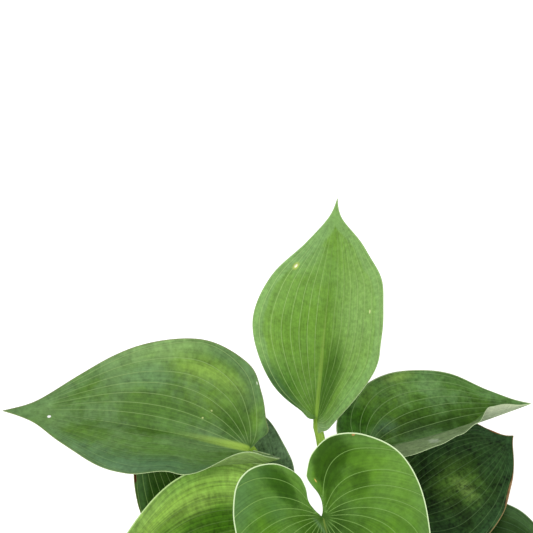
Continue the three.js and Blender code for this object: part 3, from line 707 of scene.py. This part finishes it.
leafFinishes = {
    "leaf_back_upright": {
        "green": "#769f40", "deep": "#6c9836", "deepAmount": 0.4, "bloom": "#7ba653", "fresh": "#7aa63a",
        "band": "#84ad62", "bandAmount": 0.9, "bandSoft": 0.15, "edge": "#b0cc8c",
        "edgeAmount": 0.4, "vein": "#a6c878", "midrib": "#aed062", "midribWidth": 3.0, "midribEnd": 0.8,
        "mottleAmount": 0.5, "grainAmount": 0.8, "marks": [
            # painted sheen: these two pale marks light the right half where its surface catches the light
            (-0.6, 0.6, 0.65, 0.35, 1.0, 0.5, "#90b868", 0.7),
            (-0.8, 0.32, 0.3, 0.2, 1.0, 0.5, "#8cba68", 0.7),
            (0.42, 0.5, 0.4, 0.3, 0.8, 0.3, "#6a9830", 0.5),
            # painted shade: a dark wedge beside the midrib at the base of the right half, where that half
            # folds up
            (-0.26, 0.27, 0.3, 0.3, 0.5, 0.25, "#446c24", 0.7),
            (0.95, 0.2, 0.45, 0.17, 0.6, 0.4, "#3c6234", 0.8),
            (0.58, 0.27, 0.32, 0.13, 1.0, 0.4, "#4c7c28", 0.7),
            (0.8, 0.8, 0.6, 0.14, 0.5, 0.5, "#7da462", 0.6),
            (-0.5, 0.1, 0.4, 0.08, 0.9, 0.3, "#7ea65c", 0.6),
            (0.78, 0.715, 0.07, 0.022, 0.7, 0.3, "#c4cf5c", 0.8),
            (0.78, 0.715, 0.03, 0.01, 0.5, 0.2, "#fbf8d8", 1.0),
            (-0.78, 0.6, 0.012, 0.008, 0.5, 0.2, "#e2eaa8", 0.9)]},
    "leaf_left_wide": {
        "green": "#557a30", "deep": "#42661c", "bloom": "#6a8c54", "bloomAmount": 0.8, "fresh": "#749a34",
        "freshAmount": 0.5, "band": "#6b8f5a", "bandAmount": 0.5, "edge": "#8a8c5a", "edgeAmount": 0.6,
        "vein": "#98b870", "leftVeins": 0.4, "midrib": "#b2d25a", "midribWidth": 4.2, "midribEnd": 0.5,
        "mottleAmount": 1.0, "under": "#8fae62", "underBloom": "#b0c690", "marks": [
            (-0.7, 0.36, 0.2, 0.2, 1.0, 0.7, "#94ba50", 0.65),
            (-0.86, 0.48, 0.16, 0.13, 1.0, 0.8, "#82a850", 0.5),
            (-0.5, 0.28, 0.2, 0.08, 1.0, 0.8, "#86ae4c", 0.3),
            (-0.97, 0.55, 0.3, 0.25, 1.0, 0.8, "#8eb26c", 0.6),
            (-0.6, 0.55, 0.2, 0.12, 0.8, 0.9, "#6e9660", 0.5),
            (0.8, 0.5, 0.4, 0.4, 0.9, 0.6, "#52765a", 0.6),
            (0.35, 0.45, 0.2, 0.3, 1.0, 1.0, "#67904a", 0.5),
            (0.0, 0.88, 1.0, 0.12, 1.0, 0.4, "#74985a", 0.5),
            (-0.25, 0.2, 0.3, 0.12, 0.9, 0.5, "#3c6410", 0.75),
            (-0.75, 0.14, 0.35, 0.06, 1.0, 0.5, "#7ca83c", 0.6),
            (-0.1, 0.45, 0.3, 0.15, 1.0, 1.0, "#5c8834", 0.5),
            (-0.96, 0.215, 0.012, 0.006, 0.5, 0.2, "#dfe6cc", 0.9),
            (-0.32, 0.325, 0.012, 0.005, 0.5, 0.2, "#c8d68c", 0.9),
            (-0.22, 0.35, 0.012, 0.005, 0.5, 0.2, "#c8d68c", 0.9),
            (0.16, 0.86, 0.1, 0.006, 0.2, 0.2, "#fdfdfb", 1.0)]},
    "leaf_front_heart": {
        "green": "#4f7a1e", "deep": "#284a06", "deepReach": 0.66, "deepAmount": 1.0, "shine": 0.08,
        "bloom": "#5e863c", "fresh": "#649226", "freshAmount": 0.5, "band": "#638848", "bandAmount": 0.35,
        "edge": "#dcf2be", "edgeAmount": 1.0, "edgeWidth": 1.2, "vein": "#86ae5a", "veinAmount": 0.75,
        "midrib": "#7c9240", "midribWidth": 1.0, "midribEnd": 0.3, "grainAmount": 0.4, "marks": [
            # painted shade: the dark marks at across 0.75, 0.62, 0.45 and 0.25 darken the left half near its
            # base, where shade falls
            (0.75, 0.2, 0.4, 0.08, 0.5, 0.5, "#284c00", 0.8),
            (0.62, 0.31, 0.16, 0.05, 0.7, 0.5, "#2f5404", 0.7),
            (0.45, 0.17, 0.35, 0.05, 0.9, 0.4, "#2a4e00", 0.7),
            (-0.72, 0.22, 0.42, 0.06, 0.6, 0.6, "#244c00", 0.8),
            (-0.94, 0.34, 0.25, 0.15, 1.0, 0.5, "#567e4a", 0.6),
            (-0.6, 0.31, 0.2, 0.07, 1.0, 0.8, "#4f7a40", 0.5),
            (0.9, 0.4, 0.3, 0.14, 1.0, 0.6, "#6f9c3c", 0.6),
            (0.25, 0.28, 0.28, 0.06, 1.0, 0.5, "#244600", 0.6),
            (-0.12, 0.2, 0.2, 0.03, 1.0, 0.6, "#688c60", 0.5),
            (0.7, 0.13, 0.05, 0.01, 0.7, 0.3, "#8c9434", 0.7),
            (0.7, 0.13, 0.026, 0.005, 0.5, 0.2, "#e0b468", 1.0),
            (0.99, 0.26, 0.024, 0.005, 0.5, 0.3, "#b88a50", 0.9)]},
    "leaf_front_left": {
        "green": "#8ab448", "deep": "#4f7a18", "deepReach": 0.9, "deepAmount": 1.0, "bloom": "#8cae4c",
        "fresh": "#98bc54", "freshAmount": 0.7, "crossAmount": 0.12, "streakAmount": 0.45,
        "stripeAmount": 0.2, "veinAmount": 0.35, "edge": "#c6e29a", "edgeAmount": 1.0,
        "edgeWidth": 1.3, "mottleAmount": 0.8, "marks": [
            (-0.38, 0.44, 0.24, 0.2, 0.5, 0.4, "#3c6a08", 0.85),
            (-0.55, 0.6, 0.25, 0.12, 1.0, 0.5, "#4c7814", 0.7),
            # painted light: these two pale marks lighten the right half's back part against the shadow the
            # leaf above casts on it
            (-0.8, 0.34, 0.5, 0.1, 1.0, 0.4, "#aacf66", 0.6),
            (-0.68, 0.46, 0.25, 0.08, 1.0, 0.6, "#a2c65e", 0.45)]},
    "leaf_left_under": {
        # these dark greens are partly the leaf's own colour and partly painted shade from the leaves above it
        "green": "#24440a", "deep": "#1a3204", "bloom": "#2c4a0e", "shine": 0.06, "veinAmount": 0.8,
        "vein": "#789454", "edge": "#8c8c4c", "edgeAmount": 0.6, "marks": [
            (0.99, 0.655, 0.07, 0.03, 0.3, 0.3, "#4c1408", 0.95)]},
    "leaf_back_left": {
        "green": "#5c7a50", "deep": "#506c46", "bloom": "#708c6a", "bloomAmount": 0.8, "band": "#708c6a",
        "veinAmount": 0.15, "vein": "#7c986c", "crossAmount": 0.12, "streakAmount": 0.3, "mottleAmount": 0.9,
        "grainAmount": 1.6},
    "leaf_right_upper": {
        "green": "#4c7228", "deep": "#2c4c10", "deepReach": 0.8, "deepAmount": 0.8, "bloom": "#628650",
        "bloomAmount": 0.8, "fresh": "#6c9434", "freshAmount": 0.5, "vein": "#80a062", "edge": "#b0c090",
        "edgeAmount": 0.9, "midrib": "#42661e", "mottleAmount": 1.2, "grainAmount": 1.1, "shine": 0.08,
        "under": "#8a9c78", "underBloom": "#a8b894", "marks": [
            (0.72, 0.48, 0.3, 0.12, 1.0, 0.9, "#6c9440", 0.5),
            (0.86, 0.32, 0.25, 0.09, 1.0, 0.7, "#6a9232", 0.6),
            (0.18, 0.46, 0.26, 0.18, 0.9, 0.5, "#223c06", 0.8),
            (0.29, 0.31, 0.2, 0.1, 1.0, 0.8, "#5a7860", 0.5),
            (0.7, 0.2, 0.5, 0.16, 0.8, 0.6, "#2e5c00", 0.8),
            # partly waxy bloom and partly painted sheen: the pale grey-green over the upturned right half and
            # its pale streak stand for light glancing off it
            (-0.7, 0.42, 0.66, 0.3, 0.2, 0.25, "#7e9068", 0.85),
            (-0.6, 0.46, 0.25, 0.03, 0.8, 1.0, "#b4c0a8", 0.6),
            (-0.75, 0.6, 0.3, 0.04, 0.8, 1.0, "#5e7448", 0.6),
            (0.92, 0.49, 0.12, 0.1, 0.9, 0.9, "#86a850", 0.7),
            (0.76, 0.6, 0.2, 0.08, 0.9, 0.9, "#6f9458", 0.6),
            (0.15, 0.6, 0.2, 0.14, 0.8, 0.5, "#2a480e", 0.8)], "underMarks": [
            (-0.85, 0.85, 0.5, 0.16, 0.6, 0.3, "#b8c4a0", 0.9),
            (-0.5, 0.3, 0.5, 0.07, 0.8, 0.9, "#b4c2a8", 0.7)]},
    "leaf_right_dark": {
        # these dark greens are partly the leaf's own colour and partly painted shade from the leaf above it
        "green": "#284418", "deep": "#20390e", "bloom": "#2f4c2a", "fresh": "#46641e", "freshAmount": 0.4,
        "edge": "#b89a6a", "edgeAmount": 0.6, "veinAmount": 0.65, "vein": "#60804e", "band": "#2c4a30",
        "midrib": "#4c6c3c", "mottleAmount": 2.0, "grainAmount": 2.2, "streakAmount": 0.35, "shine": 0.09,
        "marks": [
            # painted light and shade: a pool of light on the right half with a painted highlight at its core,
            # and painted shadow around it and on the left half
            (-0.15, 0.6, 0.66, 0.2, 1.0, 0.8, "#55782e", 0.75),
            (-0.3, 0.62, 0.36, 0.06, 1.0, 1.2, "#86a456", 0.45),
            (-0.52, 0.53, 0.4, 0.05, 0.9, 0.8, "#101e08", 0.6),
            (0.2, 0.5, 0.2, 0.2, 0.9, 0.8, "#162c08", 0.6),
            (1.0, 0.905, 0.1, 0.045, 0.3, 0.3, "#8a3c1a", 0.95),
            (-0.99, 0.77, 0.05, 0.09, 0.3, 0.4, "#8c6a48", 0.9)]},
    # these dark greens are partly the leaf's own colour and partly painted shade from the leaves above it
    "leaf_right_low": {"green": "#284418", "deep": "#223a10", "bloom": "#34502a", "vein": "#4c6c44"},
}


def withMarks(tree, colour, marks):
    for across, alongLeaf, wide, long, soft, ragged, code, amount in marks:
        mark = useGroup(tree, leafMark, Across=across, Along=alongLeaf, Wide=wide, Long=long, Soft=soft,
                        Ragged=ragged)
        colour = laid(tree, colour, mark["Mask"], amount, code)
    return colour


def upperFinish(name):
    look = {**plainFinish, **leafFinishes.get(name, {})}
    material, tree, shader = newMaterial(name.replace("leaf", "upper face"))
    place = useGroup(tree, leafPlace)
    veins = useGroup(tree, leafVeins, Width=look["veinWidth"])
    bloom = useGroup(tree, waxyBloom, Scale=look["bloomScale"])
    freshPatch = useGroup(tree, waxyBloom, Scale=look["bloomScale"] * look["freshScale"],
                          Low=look["freshFrom"], High=look["freshTo"])

    # the greens, the patches and the band inside the margin
    # darker towards the midrib: partly the leaf's own deeper green, partly painted shade in the midrib's
    # crease
    ribDarkAndShade = ramp(tree, place["Share"], 0.0, look["deepReach"], look["deepAmount"], 0.0)
    colour = mixed(tree, ribDarkAndShade, tone(look["green"]), tone(look["deep"]))
    colour = laid(tree, colour, freshPatch["Patches"], look["freshAmount"], look["fresh"])
    colour = laid(tree, colour, bloom["Patches"], look["bloomAmount"], look["bloom"])
    uneven = maths(tree, 'MULTIPLY_ADD', centred(tree, bloom["Cloud"]), look["bandUneven"],
                   place["From Margin"])
    band = ramp(tree, uneven, look["bandWidth"] * (1 - look["bandSoft"]),
                look["bandWidth"] * (1 + look["bandSoft"]), look["bandAmount"], 0.0)
    colour = mixed(tree, band, colour, tone(look["band"]))
    # the marks: the leaf's own spots and patches, and the painted shade, shadow, light, sheen and highlight
    # some leaves list
    colour = withMarks(tree, colour, look["marks"])

    # the broken tone of the skin
    streak = maths(tree, 'MULTIPLY', ramp(tree, veins["Fine"], 0.35, 0.65, -0.5, 0.5), look["streakAmount"])
    cross = maths(tree, 'MULTIPLY', ramp(tree, veins["Cross"], 0.3, 0.7, -1.0, 1.0), look["crossAmount"])
    stripe = maths(tree, 'MULTIPLY', centred(tree, veins["Between"]), look["stripeAmount"])
    mottle = maths(tree, 'MULTIPLY', centred(tree, bloom["Mottle"]), look["mottleAmount"])
    mottle = maths(tree, 'MULTIPLY_ADD', centred(tree, bloom["Grain"]), look["grainAmount"], mottle)
    lines = maths(tree, 'ADD', 1.0, maths(tree, 'ADD', streak, cross))
    colour = shaded(tree, colour, maths(tree, 'ADD', lines, maths(tree, 'ADD', stripe, mottle)))

    # the veins, the midrib and the pale margin
    seen = ramp(tree, place["Across"], 0.0, 0.3, look["veinAmount"], look["veinAmount"] * look["leftVeins"])
    colour = laid(tree, colour, veins["Main"], seen, look["vein"])
    ribWidth = ramp(tree, place["Along"], 0.0, 0.9, look["midribWidth"] * 1.3, look["midribWidth"] * 0.3)
    rib = ramp(tree, maths(tree, 'DIVIDE', veins["From Midrib"], ribWidth), 0.4, 1.0, 0.9, 0.0)
    ribFade = ramp(tree, place["Along"], 0.05, look["midribEnd"], 1.0, 0.0)
    colour = laid(tree, colour, rib, ribFade, look["midrib"])
    edge = ramp(tree, place["From Margin"], look["edgeWidth"] / 2, look["edgeWidth"], look["edgeAmount"], 0.0)
    colour = laid(tree, colour, edge, ramp(tree, place["Along"], 0.03, 0.1, 0.0, 1.0), look["edge"])

    # the main veins are sunk, the fine ones and the cross ribs raised
    height = maths(tree, 'MULTIPLY', veins["Main"], -0.6)
    for line, amount in (("Fine", 0.35), ("Cross", 0.3)):
        height = maths(tree, 'ADD', height, maths(tree, 'MULTIPLY', veins[line], amount))
    surface(tree, shader, colour, look["rough"], height, look["relief"], look["shine"])
    return material


# what all undersides have in common; their two tones stand with each leaf's look
underside = {"veinWidth": 0.6, "bloomAmount": 0.6, "grainAmount": 0.8, "streakAmount": 1.4, "vein": "#b8cc98",
             "veinAmount": 0.35, "edge": "#c6dba6", "edgeAmount": 0.8, "edgeWidth": 1.2, "rough": 0.6,
             "shine": 0.2, "relief": (0.5, 0.8)}


def underFinish(name):
    look = {**plainFinish, **leafFinishes.get(name, {}), **underside}
    material, tree, shader = newMaterial(name.replace("leaf", "underside"))
    place = useGroup(tree, leafPlace)
    veins = useGroup(tree, leafVeins, Width=look["veinWidth"])
    bloom = useGroup(tree, waxyBloom)
    colour = laid(tree, tone(look["under"]), bloom["Patches"], look["bloomAmount"], look["underBloom"])
    colour = withMarks(tree, colour, look["underMarks"])
    shade = maths(tree, 'MULTIPLY_ADD', centred(tree, veins["Fine"]), look["streakAmount"], 1.0)
    shade = maths(tree, 'MULTIPLY_ADD', centred(tree, bloom["Grain"]), look["grainAmount"], shade)
    colour = shaded(tree, colour, shade)
    colour = laid(tree, colour, veins["Main"], look["veinAmount"], look["vein"])
    edge = ramp(tree, place["From Margin"], look["edgeWidth"] / 3, look["edgeWidth"], look["edgeAmount"], 0.0)
    colour = mixed(tree, edge, colour, tone(look["edge"]))
    height = maths(tree, 'ADD', maths(tree, 'MULTIPLY', veins["Main"], 0.8),
                   maths(tree, 'MULTIPLY', veins["Fine"], 0.35))
    surface(tree, shader, colour, look["rough"], height, look["relief"], look["shine"])
    return material


stalk = {"green": "#8ab43c", "pale": "#a6c84e", "foot": "#b9bd7c", "footAmount": 0.5, "rough": 0.45,
         "relief": (0.25, 0.6)}


def stalkFinish():
    # on a stalk, "Along" runs from -1 at the foot to 0 at the blade
    material, tree, shader = newMaterial("leaf stalk")
    place = useGroup(tree, leafPlace)
    grain = speckle(tree, stretched(tree, place["Across"], place["Along"], 7.0, 5.0), 2.0, 3.0)
    colour = mixed(tree, ramp(tree, grain, 0.3, 0.7), tone(stalk["green"]), tone(stalk["pale"]))
    low = ramp(tree, place["Along"], -1.0, -0.7, stalk["footAmount"], 0.0)
    colour = mixed(tree, low, colour, tone(stalk["foot"]))
    surface(tree, shader, colour, stalk["rough"], grain, stalk["relief"])
    return material


stalkSkin = stalkFinish()
for name in leaves:
    leafObject(name, [upperFinish(name), underFinish(name), stalkSkin])
print("leaves are grown:", len(leaves))

# The clay pot in millimetres, turned from its profile, with rounded edges and four drain holes. "foot", "rim"
# and "drain" are radii, "band" is the height of the band under the rim and "step" how far it stands out.
pot = {"height": 160, "foot": 68, "rim": 98, "band": 30, "step": 5, "wall": 7, "floor": 9, "drain": 6,
       "drainRing": 36, "drains": 4, "sides": 120, "drainSides": 32, "creaseAngle": 35, "clay": "#b0663f",
       "bloom": "#c98f68", "bloomScale": 14.0, "stain": "#8a4d2f", "gritScale": 700.0, "rough": 0.85,
       "shine": 0.25, "relief": (0.3, 0.4)}


def rounded(corners, steps=4):
    # replaces each corner (radius, height, rounding) by a short arc
    points = []
    for i, (r, z, rounding) in enumerate(corners):
        here = np.array([r, z], float)
        if rounding == 0 or i in (0, len(corners) - 1):
            points.append(here)
            continue
        before, after = np.array(corners[i - 1][:2], float), np.array(corners[i + 1][:2], float)
        start, end = here + rounding * unit(before - here), here + rounding * unit(after - here)
        for k in range(steps + 1):
            w = k / steps
            points.append((1 - w)**2 * start + 2 * (1 - w) * w * here + w * w * end)
    return points


def turned(name, profile, sides):
    # a solid of revolution whose profile starts and ends on the axis
    rings = [[(r * math.cos(2 * math.pi * j / sides) * mm, r * math.sin(2 * math.pi * j / sides) * mm, z * mm)
              for j in range(sides)] for r, z in profile[1:-1]]
    vertices = [(0, 0, profile[0][1] * mm), (0, 0, profile[-1][1] * mm)] + [p for ring in rings for p in ring]
    faces = []
    for j in range(sides):
        k = (j + 1) % sides
        faces.append((0, 2 + k, 2 + j))
        for i in range(len(rings) - 1):
            a, b = 2 + i * sides, 2 + (i + 1) * sides
            faces.append((a + j, a + k, b + k, b + j))
        last = 2 + (len(rings) - 1) * sides
        faces.append((1, last + j, last + k))
    mesh = bpy.data.meshes.new(name)
    mesh.from_pydata(vertices, [], faces)
    mesh.update()
    return mesh


def wallInside(height):
    # the radius of the pot's inside at a height
    bodyTop = pot["rim"] - pot["step"]
    return pot["foot"] + (bodyTop - pot["foot"]) * height / pot["height"] - pot["wall"]


def clayFinish():
    material, tree, shader = newMaterial("terracotta")
    spot = objectSpot(tree)
    cloud = speckle(tree, spot, pot["bloomScale"], 6.0, 0.65)
    grit = speckle(tree, spot, pot["gritScale"], 2.0)
    colour = mixed(tree, ramp(tree, cloud, 0.45, 0.7, 0.0, 0.6), tone(pot["clay"]), tone(pot["bloom"]))
    colour = mixed(tree, ramp(tree, grit, 0.6, 0.75, 0.0, 0.6), colour, tone(pot["stain"]))
    surface(tree, shader, colour, pot["rough"], grit, pot["relief"], pot["shine"])
    return material


def potObject():
    foot, rim, top, floorTop = pot["foot"], pot["rim"], pot["height"], pot["floor"]
    bandBottom = top - pot["band"]
    bandRoot = wallInside(bandBottom) + pot["wall"]
    corners = [(0, 0, 0), (foot, 0, 3), (bandRoot, bandBottom, 1.2), (rim, bandBottom, 1.5), (rim, top, 3),
               (wallInside(top), top, 2.5), (wallInside(floorTop), floorTop, 5), (0, floorTop, 0)]
    piece = added("pot_turned", turned("pot_turned", rounded(corners), pot["sides"]))
    cutters = bmesh.new()    # a peg through the floor for each drain hole
    for i in range(pot["drains"]):
        angle = 2 * math.pi * (i + 0.5) / pot["drains"]
        place = Matrix.Translation(Vector((math.cos(angle), math.sin(angle), 0)) * pot["drainRing"] * mm)
        bmesh.ops.create_cone(cutters, cap_ends=True, segments=pot["drainSides"], radius1=pot["drain"] * mm,
                              radius2=pot["drain"] * mm, depth=4 * pot["floor"] * mm, matrix=place)
    cutterMesh = bpy.data.meshes.new("drain cutters")
    cutters.to_mesh(cutterMesh)
    cutters.free()
    cutter = added("drain cutters", cutterMesh)
    cut = piece.modifiers.new("drains", 'BOOLEAN')
    cut.object = cutter
    cut.operation = 'DIFFERENCE'
    bpy.context.view_layer.update()
    shaped = bpy.data.meshes.new_from_object(piece.evaluated_get(bpy.context.evaluated_depsgraph_get()))
    piece.modifiers.clear()
    piece.data = shaped
    bpy.data.objects.remove(cutter)
    shaped.materials.clear()
    shaped.materials.append(clayFinish())
    shaped.polygons.foreach_set("use_smooth", np.ones(len(shaped.polygons), bool))
    shaped.set_sharp_from_angle(angle=math.radians(pot["creaseAngle"]))
    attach(piece, "root")
    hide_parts("pot")


potObject()
print("pot is turned")

# The potting mix: a rough mound that fills the pot, with loose crumbs and bits of bark on top. "crown" is how
# far its middle stands above its level and "dip" how far its edge lies below; a lump is its height and width.
mix = {"level": 150, "crown": 3, "dip": 2, "gap": 0.3, "side": 0.5, "rings": 60, "around": 150,
       "lumps": [(1.3, 11), (0.9, 4.5), (0.45, 1.9)], "crumbs": 420, "barks": 60, "crumbSize": (0.7, 2.2),
       "barkSize": (1.6, 3.0), "barkShape": (2.2, 0.9, 0.45), "inset": 5, "raised": 0.2, "turn": 6.28,
       "tilt": 0.3, "dent": 0.3, "dentSize": 1.3, "seed": 7, "dark": "#2a1d14", "brown": "#4a3424",
       "pale": "#7a6650", "grainScale": 260.0, "fleckScale": 330.0, "rough": 0.95, "shine": 0.2,
       "relief": (0.8, 1.0)}


def soilFinish():
    material, tree, shader = newMaterial("potting mix")
    spot = objectSpot(tree)
    grain = speckle(tree, spot, mix["grainScale"], 6.0, 0.7)
    flecks = node(tree, "ShaderNodeTexVoronoi", Vector=spot, Scale=mix["fleckScale"]).outputs["Distance"]
    colour = mixed(tree, ramp(tree, grain, 0.35, 0.65), tone(mix["dark"]), tone(mix["brown"]))
    colour = mixed(tree, ramp(tree, flecks, 0.12, 0.2, 0.35, 0.0), colour, tone(mix["pale"]))
    surface(tree, shader, colour, mix["rough"], grain, mix["relief"], mix["shine"])
    return material


def soilHeight(x, y, edge):
    # the lumps flatten out in the last few millimetres before the pot
    r = math.hypot(x, y)
    mound = mix["level"] - mix["dip"] + (mix["crown"] + mix["dip"]) * (1 - (r / edge) ** 2)
    lumps = sum(high * noise.noise(Vector((x, y, 0)) / wide) for high, wide in mix["lumps"])
    return mound + lumps * min(1, (edge - r) / 4 + 0.3)


def soilObject(finish):
    # fills the pot up to its level; the rings of its top are then raised to the mound and its lumps
    bottom = pot["floor"] + mix["gap"]
    edge = wallInside(mix["level"]) - mix["side"]
    profile = [(0, bottom), (wallInside(bottom) - mix["side"], bottom), (edge, mix["level"] - mix["dip"])]
    rings = mix["rings"]
    profile += [(edge * (1 - i / rings), mix["level"]) for i in range(1, rings)] + [(0, mix["level"])]
    mesh = turned("soil_mounded", profile, mix["around"])
    for vertex in mesh.vertices:
        x, y, z = vertex.co / mm
        if z > mix["level"] - 1:
            vertex.co.z = soilHeight(x, y, edge) * mm
    mesh.materials.append(finish)
    mesh.polygons.foreach_set("use_smooth", np.ones(len(mesh.polygons), bool))
    piece = added("soil_mounded", mesh)
    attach(piece, "root")
    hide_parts("soil")
    return edge


def crumbsObject(finish, edge):
    # each crumb is a small rough lump, and each bit of bark a longer flat one, half sunk in the mix
    random = np.random.default_rng(mix["seed"])
    lumps = bmesh.new()
    for i in range(mix["crumbs"] + mix["barks"]):
        isBark = i >= mix["crumbs"]
        r, angle = (edge - mix["inset"]) * math.sqrt(random.uniform()), random.uniform(0, 2 * math.pi)
        x, y = r * math.cos(angle), r * math.sin(angle)
        size = random.uniform(*mix["barkSize" if isBark else "crumbSize"])
        stretch = mix["barkShape"] if isBark else (1, random.uniform(0.7, 1), random.uniform(0.6, 0.9))
        place = (Matrix.Translation(Vector((x, y, soilHeight(x, y, edge) + mix["raised"] * size)) * mm)
                 @ Matrix.Rotation(random.uniform(0, mix["turn"]), 4, 'Z')
                 @ Matrix.Rotation(random.uniform(-mix["tilt"], mix["tilt"]), 4, 'X')
                 @ Matrix.Diagonal((*(Vector(stretch) * size * mm), 1)))
        made = bmesh.ops.create_icosphere(lumps, subdivisions=2, radius=1.0, matrix=place)
        for vertex in made["verts"]:
            centre = place.translation
            dent = mix["dent"] * noise.noise(vertex.co / (mix["dentSize"] * mm))
            vertex.co = centre + (vertex.co - centre) * (1 + dent)
    mesh = bpy.data.meshes.new("soil_crumbs")
    lumps.to_mesh(mesh)
    lumps.free()
    mesh.materials.append(finish)
    piece = added("soil_crumbs", mesh)
    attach(piece, "root")


pottingMix = soilFinish()
soilEdge = soilObject(pottingMix)
crumbsObject(pottingMix, soilEdge)
print("potting mix is in the pot")
